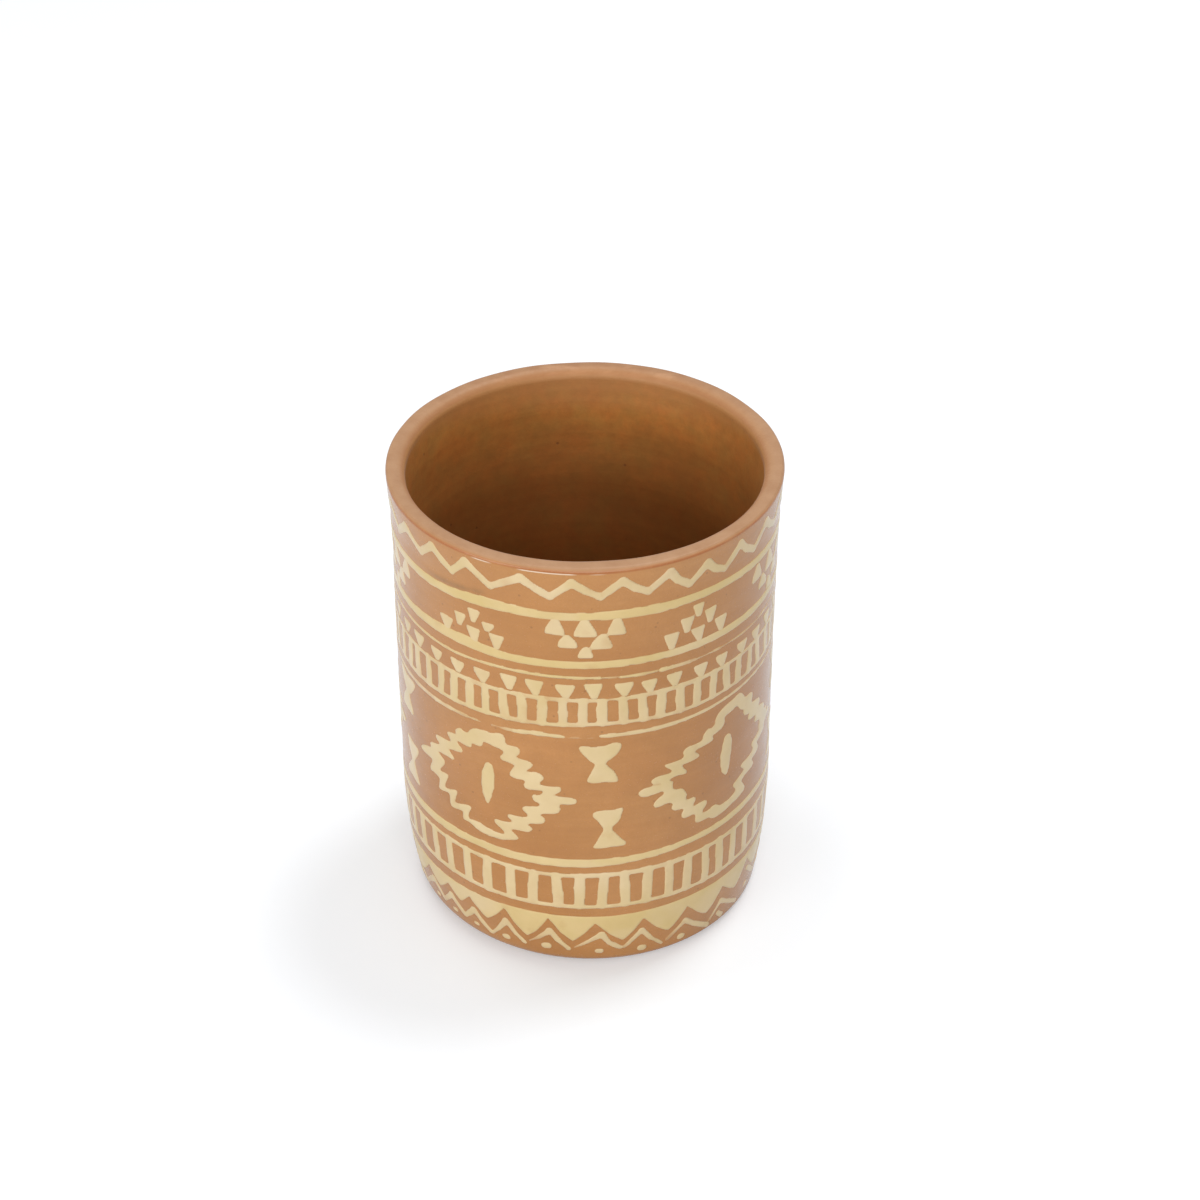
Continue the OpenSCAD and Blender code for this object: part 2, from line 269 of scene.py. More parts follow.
rows = np.array(profile)
R, Z, NR, NZ, DEPTH, INNER, LIP = (rows[:, k] for k in range(7))
A = np.radians(angles)[None, :]
out = uneven(angles[None, :], DEPTH) * (1 - INNER) * (NR != 0)
# Throwing rings: one slow spiral that the fingers left, with finer ones on it
rings = (
    0.008 * np.sin(DEPTH * 2.6 + A + 0.8 * np.sin(A + DEPTH * 0.05))
    + 0.004 * np.sin(DEPTH * 5.3 + 2 * A + 1.3)
    + 0.06 * np.sin(DEPTH * 0.45 + A + 0.5)
    + 0.05 * np.cos(2 * A + 0.06 * DEPTH)
)
floor_rings = 0.1 * np.sin(R * 1.15 + A)
floor_part = held((CUP_H - FLOOR_T - DEPTH) / INSIDE_R)
middle = held(R / 6)
out = out + INNER * (rings * floor_part + floor_rings * (1 - floor_part) * middle)
lip_waves = 0.05 * np.sin(3 * A + 1) + 0.03 * np.sin(7 * A + 2) + 0.02 * np.sin(17 * A)
out = out + LIP * (1 - INNER) * (lip_waves - 0.04 - 0.2 * np.cos(A))
r_all = R + out * NR
z_all = Z + out * NZ
grid = np.stack([r_all * np.sin(A), -r_all * np.cos(A), z_all], -1)
points = np.r_[grid.reshape(-1, 3), [[0, 0, 0], [0, 0, z_all[-1].mean()]]]
under = len(rows) * COLUMNS
last_row = under - COLUMNS
around = [(j, (j + 1) % COLUMNS) for j in range(COLUMNS)]
faces = [(i + j, i + k, i + COLUMNS + k, i + COLUMNS + j)
         for i in range(0, last_row, COLUMNS) for j, k in around]
for j, k in around:
    faces += [(under, k, j), (last_row + j, last_row + k, under + 1)]

# Painted highlight: broken bright dashes of a lamp's glint on the outer edge of the lip
front_angle = (angles[None, :] + 180) % 360 - 180
shine = np.zeros_like(DEPTH)
for first, last, much in ((-33, -26, 0.8), (-19, -2, 0.9), (1, 6, 0.35)):
    within = held((front_angle - first) / 2) * held((last - front_angle) / 2)
    shine = np.maximum(shine, much * within * (1 - INNER) * (DEPTH < 10))
back = np.broadcast_to(at_back[None, :], DEPTH.shape)
# A dark line on the clay along the top of the upper line, left of the front
dark_streak = held((front_angle + 52) / 6) * held((-28 - front_angle) / 4)
line_top = np.interp(front_angle, (-50, -40, -30), (10.2, 9.8, 9))
dark_streak = dark_streak * np.exp(-((DEPTH - line_top + 0.5) / 0.6) ** 2) * (1 - INNER)


def per_point(column, first=0, end=0):
    return np.r_[column.reshape(-1), first, end]


clay = new_mesh("clay_body", points, faces, {
    "inner": per_point(INNER, 0, 1),
    "lip": per_point(LIP),
    "depth": per_point(DEPTH, BASE_D, CUP_H),
    # Share of the inside's colour below the painted light just under the lip
    "into": per_point(INNER * held(DEPTH / (3.5 + 6 * back)) ** 0.7, 0, 1),
    "back": per_point(back),
    "shine": per_point(shine),
    "dark_streak": per_point(dark_streak),
})
clay.data.polygons.foreach_set("material_index", [
    int(min(face) >= first_inside * COLUMNS) for face in faces])
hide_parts("clay_cup")
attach(clay, "root")

# Painted slip. Each band is drawn as a distance field over the unrolled wall, in mm,
# negative inside the paint, and its outline is then cut out of a fine grid.
GRID_N = 720
STEP_A = 360 / GRID_N
STEP_D = 0.3
PER_DEG = math.pi / 180 * WALL_R
JOIN = 0.35
FAR = 9.0
MARGIN = 2.6
SOFT_N = 8
SOFT = np.hanning(2 * SOFT_N + 1) / np.hanning(2 * SOFT_N + 1).sum()
WAVES = 14
GRID_A = np.arange(GRID_N) * STEP_A
rng = np.random.default_rng(19)


def smooth_min(a, b, k=JOIN):
    h = held(0.5 + 0.5 * (b - a) / k)
    return b + (a - b) * h - k * h * (1 - h)


def in_mm(marks):
    return [(a * PER_DEG, d) for a, d in marks]


def to_segment(u, v, p, q):
    """The share of a segment at which each point's nearest spot lies, and its distance."""
    du, dv = q[0] - p[0], q[1] - p[1]
    t = ((u - p[0]) * du + (v - p[1]) * dv) / max(du * du + dv * dv, 1e-9)
    t = held(t)
    return t, np.hypot(u - p[0] - t * du, v - p[1] - t * dv)


def to_outline(u, v, loops):
    """The distance of each point from some loops, negative inside the shape they bound."""
    best = np.full(np.broadcast(u, v).shape, FAR)
    inside = np.zeros(best.shape, bool)
    for loop in loops:
        for p, q in zip(loop, loop[1:] + loop[:1]):
            best = np.minimum(best, to_segment(u, v, p, q)[1])
            if p[1] != q[1]:
                across = (q[0] - p[0]) * (v - p[1]) / (q[1] - p[1]) + p[0]
                inside ^= ((p[1] > v) != (q[1] > v)) & (u < across)
    return np.where(inside, -best, best)


def edge_depth(marks, edge, angle):
    """The depth of a ring's upper (1) or lower (2) edge at an angle."""
    return np.interp(angle, [m[0] for m in marks], [m[edge] for m in marks], period=360)


class Band:
    """One kind of mark between two depths."""

    def __init__(self, top, bottom):
        self.depth = np.arange(top, bottom + STEP_D, STEP_D)
        self.field = np.full((len(self.depth), GRID_N), FAR)
        self.cover = np.ones_like(self.field)

    def window(self, marks):
        """The part of the grid round some marks, and its places across and down."""
        angles, depths = zip(*marks)
        first = math.floor((min(angles) - MARGIN / PER_DEG) / STEP_A)
        last = math.ceil((max(angles) + MARGIN / PER_DEG) / STEP_A)
        cols = np.arange(first, last + 1)
        keep = (self.depth > min(depths) - MARGIN) & (self.depth < max(depths) + MARGIN)
        rows = np.nonzero(keep)[0]
        u = (cols * STEP_A * PER_DEG)[None, :]
        v = self.depth[rows][:, None]
        return np.ix_(rows, cols % GRID_N), u, v

    def lay(self, place, distance, cover=1):
        old = self.field[place]
        self.cover[place] = np.where(distance < old, cover, self.cover[place])
        self.field[place] = smooth_min(distance, old)

    def stroke(self, marks, width, cover=(1, 1)):
        """A brush stroke through marks, with a width at each and cover at its ends."""
        widths = np.broadcast_to(np.asarray(width, float), (len(marks),))
        lengths = [0.0]
        for p, q in zip(marks, marks[1:]):
            lengths.append(lengths[-1] + math.hypot((q[0] - p[0]) * PER_DEG, q[1] - p[1]))
        total = max(lengths[-1], 1e-6)
        place, u, v = self.window(marks)
        best = np.full(np.broadcast(u, v).shape, FAR)
        along = np.zeros_like(best)
        ends = in_mm(marks)
        for n, (p, q) in enumerate(zip(ends, ends[1:])):
            t, distance = to_segment(u, v, p, q)
            distance = distance - (widths[n] + (widths[n + 1] - widths[n]) * t) / 2
            here = (lengths[n] + t * (lengths[n + 1] - lengths[n])) / total
            along = np.where(distance < best, here, along)
            best = smooth_min(distance, best, 0.2)
        self.lay(place, best, cover[0] + (cover[1] - cover[0]) * along)

    def strokes(self, *lines):
        for line in lines:
            self.stroke(*line)

    def patch(self, corners, rounding):
        """A filled shape with rounded corners; the outline given is its true outline."""
        marks = np.array(in_mm(corners))
        middle = marks.mean(0)
        outline = []
        for arm in marks - middle:
            length = math.hypot(*arm)
            outline.append(middle + arm * max(length - rounding, 0.3 * length) / length)
        place, u, v = self.window(corners)
        self.lay(place, to_outline(u, v, [outline]) - rounding)

    def area(self, loops):
        """A filled shape between outlines, as the outer one with a hole in it."""
        place, u, v = self.window([m for loop in loops for m in loop])
        distance = to_outline(u, v, [in_mm(loop) for loop in loops])
        for axis in (0, 1):
            near = np.roll(distance, 1, axis) + np.roll(distance, -1, axis)
            distance = 0.5 * distance + 0.25 * near
        self.lay(place, distance)

    def ring(self, marks, cover=1):
        """A line round the whole cup; each mark is an angle with the line's two edges."""
        edges = []
        for edge in (1, 2):
            line = edge_depth(marks, edge, GRID_A)
            line = np.r_[line[-SOFT_N:], line, line[:SOFT_N]]
            edges.append(np.convolve(line, SOFT, "valid"))
        middle, half = (edges[0] + edges[1]) / 2, (edges[1] - edges[0]) / 2
        self.lay(slice(None), np.abs(self.depth[:, None] - middle) - half, cover)


def ripple(depths, seed, size, fine=6):
    """A small random wave over the unrolled wall that closes round the cup."""
    random = np.random.default_rng(seed)
    a, d = np.radians(GRID_A)[None, :], depths[:, None]
    total = np.zeros((len(depths), GRID_N))
    for _ in range(WAVES):
        turns = random.integers(8, int(WALL_R * 2 * math.pi / (fine / 2)))
        upright = random.uniform(-2 * math.pi / fine, 2 * math.pi / fine)
        total += np.sin(turns * a + upright * d + random.uniform(0, 2 * math.pi))
    return total * size / math.sqrt(WAVES)


def stand_on_wall(angle, depth, height):
    """Points on the wall, a hair lower than the depths read off the photograph's grid."""
    depth = depth + np.interp(depth, (0, 12, 60), (0, 0.08, 0.12))
    r, z, nr, nz = on_wall(angle, depth)
    off = height + uneven(angle, depth)
    a = np.radians(angle)
    r = r + off * nr
    return np.stack([r * np.sin(a), -r * np.cos(a), z + off * nz], -1)


def slip(name, node, band, seed, thick=1):
    """Cuts a band's paint out of the grid as one closed skin on the wall."""
    field = band.field + ripple(band.depth, seed, 0.05)
    cover = np.clip(band.cover + ripple(band.depth, seed + 100, 0.1, 9), 0, 1.3)
    field[0], field[-1] = FAR, FAR
    inside = field < 0
    count = int(inside.sum())
    ids = np.full(field.shape, -1)
    ids[inside] = np.arange(count)
    i_in, j_in = np.nonzero(inside)
    spots = [(j_in * STEP_A, band.depth[i_in], -field[inside], cover[inside])]

    def crossings(beyond, axis):
        """Adds the outline's points on the grid lines along an axis, and numbers them."""
        here = field[:len(beyond)]
        cut = (here < 0) != (beyond < 0)
        i, j = np.nonzero(cut)
        t = np.clip(here[cut] / (here[cut] - beyond[cut]), 0.08, 0.92)
        angle = (j + (t if axis == 1 else 0)) * STEP_A
        depth = band.depth[i] + (t * STEP_D if axis == 0 else 0)
        number = np.full(here.shape, -1)
        number[cut] = np.arange(len(i)) + sum(len(s[0]) for s in spots)
        spots.append((angle, depth, np.zeros(len(i)), cover[:len(beyond)][cut]))
        return number

    def and_under(values):
        """Values of the points on top, with those of the underside's points added."""
        return np.r_[values, values[:count]]

    across = crossings(np.roll(field, -1, 1), 1)
    down = crossings(field[1:], 0)
    angle, depth, deep, covers = (np.concatenate([s[k] for s in spots]) for k in range(4))
    total = len(angle)
    rise = held(deep / EDGE_W)
    height = SLIP_T * (0.45 + 0.55 * np.clip(covers, 0, 1.1)) * (1 - (1 - rise) ** 2)
    height[count:] = -OUTLINE_IN
    height = np.r_[height, np.full(count, -UNDERSIDE_IN)]
    points = stand_on_wall(and_under(angle), and_under(depth), height)

    j_next = np.roll(np.arange(GRID_N), -1)
    corners = [part[:, shift] for shift in (slice(None), j_next)
               for part in (inside[:-1], inside[1:])]
    full, some = np.all(corners, 0), np.any(corners, 0)
    faces = []
    for i, j in [*zip(*np.nonzero(full)), *zip(*np.nonzero(some & ~full))]:
        k = j_next[j]
        loop = [
            ids[i, j], down[i, j], ids[i + 1, j], across[i + 1, j],
            ids[i + 1, k], down[i, k], ids[i, k], across[i, j],
        ]
        loop = [int(v) for v in loop if v >= 0]
        faces.append(loop)
        faces.append([v if v >= count else v + total for v in reversed(loop)])
    piece = new_mesh(name, points, faces, {
        "cover": and_under(covers), "deep": and_under(deep),
        "thick": np.full(len(points), thick), "depth": and_under(depth)})
    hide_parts(node)
    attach(piece, "root")


def outline(*tenths):
    """A traced outline: its angles and depths by turns, each in tenths."""
    return [(a / 10, d / 10) for a, d in zip(tenths[::2], tenths[1::2])]


def draw(most):
    return rng.uniform(-most, most)


def onward(start, end, count, wander, depth=0, shake=0):
    """The unseen marks between two angles at even steps, with a little hand wander."""
    steps = np.linspace(start, end, count + 2)[1:-1]
    return [(s + draw(wander), depth + draw(shake)) for s in steps]


# Rim zigzag: each falling stroke as peak, bend and valley; the rising ones join them
falls = [
    [(-61.5, 3.4), (-57.5, 4.9), (-53.6, 6.2)], [(-47.6, 2.9), (-44, 4.8), (-40.4, 6.2)],
    [(-35, 2.7), (-31, 4.6), (-27.2, 6.4)], [(-18, 2.9), (-14, 4.7), (-9.8, 6.3)],
    [(-3.6, 3), (0.2, 4.7), (4.3, 6.1)], [(10.4, 3), (13.8, 4.8), (17.6, 6.1)],
    [(24, 2.9), (26.5, 5.1), (30.6, 6.9)], [(36.2, 3.7), (39, 5.6), (43, 6.9)],
    [(49.2, 3.3), (52.2, 5.4), (56.8, 7.1)], [(63.4, 3.5), (66.5, 5.2), (71, 6.7)],
]
for peak, _ in onward(63.4, 298.5, 16, 0.9):
    high, low = 3.1 + draw(0.3), 6.5 + draw(0.3)
    falls.append([(peak, high), (peak + 3.6, (high + low) / 2 + 0.1), (peak + 7.2, low)])
falls.append([(298.5, 3.4), (302.5, 4.9), (306.4, 6.2)])
band = Band(0.6, 9)
for fall, following in zip(falls, falls[1:]):
    band.stroke(fall, (1.95, 1.75, 1.6), (1, 0.95))
    band.stroke([fall[-1], following[0]], (1.5, 1.85), (0.78, 1))
band.stroke([(-68.5, 7.2), (-65, 5.4), (-61.5, 3.6)], (1.3, 1.6, 1.9), (0.7, 1))
slip("painted_rim_zigzag", "slip_rim_zigzag", band, 1)

# Upper, middle, thin and lower line
band = Band(8, 14)
band.ring([
    (-60, 10.2, 12.2), (-50, 10.3, 12.3), (-40, 9.9, 12), (-30, 9.1, 11.6),
    (-20, 9.2, 11.3), (-10, 9.6, 11.4), (0, 9.5, 11.3), (10, 9.2, 11.3), (22, 9.2, 11.4),
    (30, 9.3, 11.2), (45, 9.4, 11.2), (60, 9.6, 11.4), (90, 9.8, 11.9), (125, 9.4, 11.4),
    (150, 9.7, 11.8), (180, 9.9, 12.1), (215, 9.5, 11.5), (245, 9.8, 12), (275, 10, 12),
])
slip("painted_upper_line", "slip_upper_line", band, 2, 0.05)

band = Band(18, 24)
band.ring([
    (-60, 20.2, 22.2), (-45, 19.6, 22.1), (-35, 19.4, 22), (-25, 20.2, 22.1),
    (0, 20.3, 22), (20, 20.2, 21.9), (35, 20.2, 22), (60, 20.3, 22.1),
    (95, 19.9, 22), (130, 20.2, 22.2), (165, 20, 21.8), (200, 20.4, 22.4),
    (240, 20.1, 22), (275, 20.3, 22.3),
])
slip("painted_middle_line", "slip_middle_line", band, 3, 0.2)

band = Band(22, 27)
band.strokes(
    ([(-78, 24.4), (-60, 24.4), (-50, 24.5), (-40, 24.5), (-31, 24.1), (-24, 23.9)],
     (0.7, 0.75, 0.75, 0.75, 0.7, 0.75), (1, 0.9)),
    ([(-24, 23.9), (-14, 23.9), (-5, 24), (4, 24.1)], (0.75, 0.85, 0.75, 0.7), (0.9, 1)),
    ([(4, 24.1), (10, 24.2)], 0.45, (0.6, 0.65)),
    ([(10, 24.3), (20.5, 24.3)], 0.75, (0.95, 0.6)),
    ([(22, 24.3), (25.5, 24.3), (31, 24.4)], (1.1, 1, 0.8), (0.95, 0.7)),
    ([(31, 24.4), (45, 24.4), (60, 24.6), (78, 24.3)], 0.55, (0.6, 0.8)),
    ([(81, 24.2), (100, 24.5), (130, 24.1), (152, 24.4)], 0.72, (0.9, 0.8)),
    ([(153, 24.6), (175, 24.3), (205, 24.6), (228, 24.3)], 0.7, (1, 0.7)),
    ([(227, 24.1), (250, 24.4), (270, 24.2), (283, 24.5)], 0.72, (0.9, 0.9)),
)
slip("painted_thin_line", "slip_thin_line", band, 4, 0.5)

band = Band(65, 72)
band.ring([
    (-60, 67.2, 69.4), (-45, 67.1, 69.2), (-35, 67.1, 69.1), (-20, 67.3, 69.4),
    (0, 67.3, 69.4), (10, 67.1, 69), (20, 66.9, 68.6), (30, 66.7, 68.3),
    (45, 66.5, 68.2), (60, 66.4, 68.1), (90, 66.8, 68.9), (120, 67.2, 69.2),
    (160, 67, 68.8), (200, 67.3, 69.3), (240, 67.1, 69), (280, 67.4, 69.5),
])
slip("painted_lower_line", "slip_lower_line", band, 5, 0.5)


def wedge(band, angle, flat, tip, half, tip_at, bulge):
    """A triangle mark: its flat edge's depth and half width in degrees, and its tip."""
    side, bulged = half * 0.95, flat + (bulge if tip > flat else -bulge)
    band.patch([
        (angle - half, flat), (angle + half, flat), (angle + side, bulged),
        (tip_at + 0.55, tip), (tip_at - 0.55, tip), (angle - side, bulged),
    ], 0.55 if tip < flat else 0.4)


# Clusters: standing ones widen downwards in rows of triangles with their tips down,
# hanging ones narrow downwards in rows of drops with their tips up
standing_left = [
    (-33, 12.9, 15.9, 2.1, -33.3), (-38.1, 14.9, 17.8, 2, -38.5),
    (-28.4, 15, 16.8, 2.1, -28.9), (-43.5, 17.2, 20.2, 2.7, -43.2),
    (-33.4, 17, 20.3, 2.3, -33.1), (-25.7, 17, 20.2, 2.3, -25.8),
]
standing_right = [
    (33.8, 12.1, 14.9, 1.9, 33.9), (30.1, 14.3, 17.6, 2.2, 29.9), (38.1, 14.1, 17.3, 2.2, 38.1),
    (25, 16.8, 20.4, 2.4, 25.1), (33.7, 17.3, 20.5, 2.3, 34.3), (42.2, 17.2, 20.5, 2.4, 42.3),
]
hanging_middle = [
    (-8.6, 14.4, 10.9, 2.75, -8.3), (0, 14.7, 10.9, 3.2, -0.2), (8.7, 14.6, 10.9, 2.6, 9.1),
    (-4.9, 17.2, 14.4, 2.8, -5), (4.5, 17.4, 14.2, 3, 5.1), (0, 19.5, 17, 2.1, 0.1),
]
band = Band(9.5, 22)
clusters = [standing_left, standing_right, hanging_middle]
for middle, hangs, lower in ((68.5, True, 0.6), (102, False, 0), (140, True, 0),
                             (178, False, 0), (214, True, 0), (250, False, 0),
                             (286.8, True, 0.8)):
    source, shift = (hanging_middle, 0) if hangs else (standing_right, 33.9)
    clusters.append([
        (a - shift + middle + draw(0.4), flat + lower + draw(0.2), tip + lower + draw(0.2),
         half + rng.uniform(-0.25, 0.2), at - shift + middle + draw(0.4))
        for a, flat, tip, half, at in source
    ])
for cluster in clusters:
    for a, flat, tip, half, at in cluster:
        wedge(band, a, flat, tip, half, at, 0.9 if tip < flat else 0.5)
slip("painted_triangle_clusters", "slip_triangle_clusters", band, 6)

# Small triangles
band = Band(24.8, 31)
small = [
    (-66, 26.4, 28.9, 2.6), (-57.8, 26.2, 29.1, 3), (-48.6, 26.4, 29, 2.6),
    (-39.8, 26.2, 28.9, 2.6), (-31, 25.9, 28.9, 2.9), (-22.3, 25.3, 28.7, 2.6),
    (-14.6, 25.4, 28.8, 2.65), (-5.8, 25.8, 28.9, 2.8), (2.2, 25.5, 28.9, 2.6),
    (10.9, 25.8, 28.8, 2.7), (18.3, 26, 28.9, 2.4), (26.1, 25.9, 28.9, 2.5),
    (35.1, 26.1, 29, 2.6), (43.1, 26.2, 29, 2.3), (52.4, 26.4, 29.1, 2.6),
    (60.5, 26.4, 29.1, 2.6),
]
small += [(a, 25.9 + draw(0.3), 28.8 + draw(0.2), 2.4 + draw(0.25))
          for a, _ in onward(60.5, 294, 26, 0.7)]
for a, flat, tip, half in small:
    wedge(band, a, flat, tip, half, a + 0.3, 0.7)
slip("painted_small_triangles", "slip_small_triangles", band, 7)


def rungs(band, places, rails, least, most):
    """Upright strokes from one rail's outer edge to the other's, each with its own lean."""
    for a in places:
        width = rng.uniform(least, most)
        tilt = draw(0.35)
        top = edge_depth(rails[0], 1, a) + width * 0.42
        bottom = edge_depth(rails[1], 2, a) - width * 0.45
        middle = (top + bottom) / 2 + draw(1)
        band.stroke([(a - tilt, top), (a + draw(0.2), middle), (a + tilt, bottom)],
                    (width * 0.92, width * 1.04, width * 0.97), (1, 0.92))


# Upper ladder
band = Band(27.8, 37.5)
upper_rails = [
    [(-60, 29.2, 30.2), (-40, 28.9, 30), (-30, 28.8, 29.9), (-20, 28.7, 29.7), (-10, 28.6, 29.6),
     (0, 28.7, 29.7), (5, 28.9, 29.5), (9, 28.9, 29.5), (12, 28.7, 29.7), (20, 28.6, 29.7),
     (30, 28.7, 29.8), (45, 28.8, 29.8), (80, 28.8, 29.8), (140, 28.7, 29.6), (200, 28.8, 29.8),
     (260, 28.7, 29.7)],
    [(-60, 35.6, 36.6), (-45, 35.4, 36.4), (-30, 34.9, 35.9), (-20, 34.7, 35.7), (-10, 34.5, 35.5),
     (0, 34.2, 35.2), (10, 34.2, 35.2), (20, 34.4, 35.3), (30, 34.6, 35.5), (45, 34.6, 35.4),
     (80, 34.7, 35.6), (140, 35, 35.9), (200, 35.2, 36.1), (260, 35.3, 36.2)],
]
for rail in upper_rails:
    band.ring(rail, 0.85)
upper_rungs = [
    -64, -59, -53, -47, -41.5, -35.5, -30, -24, -18.5, -12.5, -6.5, -0.8, 4.7, 10.7, 16.5,
    22, 28.2, 33.9, 40, 45.5, 50.9, 56.8,
]
upper_rungs += [a for a, _ in onward(56.8, 296, 41, 0.5)]
rungs(band, upper_rungs, upper_rails, 1.8, 2.15)
slip("painted_upper_ladder", "slip_upper_ladder", band, 8)

# Broken line
band = Band(35.8, 40)
band.strokes(
    ([(-118, 37.9), (-95, 38.2), (-70, 38.6), (-50, 38.5), (-37, 38.2), (-31.5, 38.1)],
     (0.7, 0.9, 1, 1.1, 0.8, 0.3), (0.95, 0.7)),
    ([(-28, 38), (-21, 37.9)], (0.5, 0.8), (0.5, 0.7)),
    ([(-21, 37.9), (-15, 37.5), (-6.5, 37.7)], (0.95, 1.2, 0.8), (1, 0.9)),
    ([(-6.5, 37.8), (2.5, 37.8)], (0.4, 0.28), (0.5, 0.4)),
    ([(4.3, 37.5), (20, 37.5), (30, 37.4), (45, 37.1), (60, 36.9), (92, 37.3)],
     (0.95, 1.05, 0.9, 0.8, 0.75, 0.5), (1, 0.8)),
    ([(100, 37.6), (125, 37.8), (150, 37.5), (166, 37.8)], (0.8, 0.9, 0.8, 0.4), (1, 0.8)),
    ([(172, 37.7), (195, 37.9), (222, 37.6), (236, 37.9)], (0.7, 0.9, 0.8, 0.4), (1, 0.8)),
)
slip("painted_broken_line", "slip_broken_line", band, 9)

# Diamonds, each an outline with a toothed edge outside and in
diamond_left = [outline(
    -364, 416, -356, 410, -348, 405, -335, 401, -310, 399.5, -285, 399, -268, 395, -256, 393,
    -244, 396, -238, 402, -238, 412, -234, 416, -208, 416, -196, 418, -192, 426, -197, 434,
    -209, 440, -185, 443, -165, 445, -152, 451, -159, 458, -172, 465, -180, 471, -165, 470,
    -148, 467, -135, 468, -125, 473, -120, 481, -128, 488, -138, 495, -120, 497, -95, 497,
    -78, 495, -71, 500, -71, 507, -79, 512, -93, 516, -99, 519, -80, 519, -50, 520, -32, 523,
    -23, 530, -32, 537, -50, 540, -79, 539, -74, 550, -78, 559, -86, 563, -110, 565, -132, 568,
    -138, 571, -127, 573, -119, 580, -121, 587, -130, 592, -155, 595, -173, 597, -180, 599,
    -168, 602, -157, 607, -162, 613, -172, 618, -200, 619, -224, 619, -232, 622, -220, 626,
    -208, 632, -201, 638, -208, 643, -225, 647, -250, 652, -270, 654, -300, 654, -330, 652,
    -350, 648, -363, 643, -375, 641, -394, 642, -399, 637, -397, 625, -396, 619, -415, 623,
    -435, 627, -448, 626, -452, 618, -451, 605, -451, 597, -465, 598, -485, 601, -502, 602,
    -499, 592, -496, 582, -494, 574, -520, 572, -541, 572, -543, 566, -537, 555, -532, 548,
    -528, 542, -550, 542, -575, 542, -596, 540, -593, 533, -578, 526, -562, 519, -547, 515,
    -532, 513, -540, 508, -538, 502, -525, 497, -505, 493, -486, 490, -490, 486, -502, 483,
    -507, 477, -503, 470, -485, 468, -455, 466, -435, 464, -439, 460, -448, 454, -454, 448,
    -446, 443, -430, 441, -410, 439, -418, 432, -412, 425, -400, 419, -392, 418, -384, 422,
    -376, 422, -367, 421,
), outline(
    -310, 427, -290, 429, -270, 431, -250, 433, -245, 435, -249, 441, -259, 449, -257, 455,
    -250, 458, -225, 459, -210, 460, -213, 465, -221, 473, -228, 483, -228, 489, -220, 492,
    -200, 493, -184, 492, -179, 496, -186, 502, -184, 509, -176, 513, -165, 514, -150, 512,
    -127, 510, -126, 514, -133, 520, -140, 523, -156, 521, -161, 526, -160, 533, -153, 540,
    -141, 542, -137, 546, -140, 549, -160, 552, -180, 554, -191, 558, -192, 564, -186, 570,
    -175, 575, -174, 579, -185, 582, -205, 583, -230, 582, -240, 586, -239, 592, -229, 597,
    -219, 601, -230, 603, -255, 604, -278, 604, -285, 609, -280, 616, -268, 623, -256, 629,
    -248, 634, -255, 637, -280, 637, -305, 634, -323, 632, -327, 628, -340, 629, -360, 630,
    -375, 631, -375, 624, -370, 613, -362, 602, -363, 598, -375, 598, -390, 601, -410, 606,
    -429, 609, -425, 602, -421, 592, -414, 581, -415, 577, -425, 577, -440, 582, -458, 585,
    -470, 586, -466, 578, -460, 568, -453, 557, -452, 550, -465, 551, -480, 552, -493, 554,
    -490, 550, -482, 544, -472, 535, -466, 527, -467, 521, -480, 516, -494, 511, -500, 509,
    -475, 507, -450, 506, -430, 507, -421, 503, -428, 497, -440, 490, -450, 486, -430, 483,
    -410, 480, -392, 477, -387, 471, -393, 466, -403, 461, -413, 455, -408, 452, -390, 454,
    -370, 456, -357, 455, -352, 450, -353, 445, -350, 442, -335, 443, -321, 442, -313, 437,
    -311, 430,
)]
